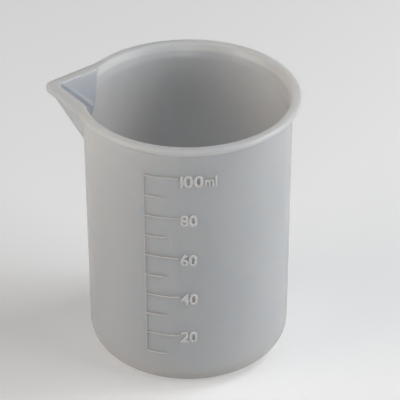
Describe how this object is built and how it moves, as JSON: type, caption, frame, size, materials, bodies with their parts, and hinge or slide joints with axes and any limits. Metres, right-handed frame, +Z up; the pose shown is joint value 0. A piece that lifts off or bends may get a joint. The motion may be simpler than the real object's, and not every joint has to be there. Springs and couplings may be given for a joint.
{
  "type": "mixing cup",
  "caption": "Soft translucent measuring beaker for mixing resin, with a rounded heel, a flanged lip drawn out into a V-shaped pouring spout, and a raised volume scale.",
  "frame": {"origin": "centre of the flat underside, on the axis of the round beaker", "axes": "+Z up out of the mouth along the beaker's axis; the pouring spout points along -X and the raised scale faces -Y"},
  "size_m": [0.0621, 0.0548, 0.07],
  "materials": {
    "silicone": "milky translucent silicone, soft satin",
    "scale_silicone": "the same milky silicone, raised and a little lighter"
  },
  "bodies": {
    "root": {"cup_base": "silicone", "cup_wall": "silicone", "pour_spout": "silicone", "rim_lip": "silicone", "scale_spine": "scale_silicone", "scale_long_marks": "scale_silicone", "scale_short_marks": "scale_silicone"}
  },
  "joints": []
}
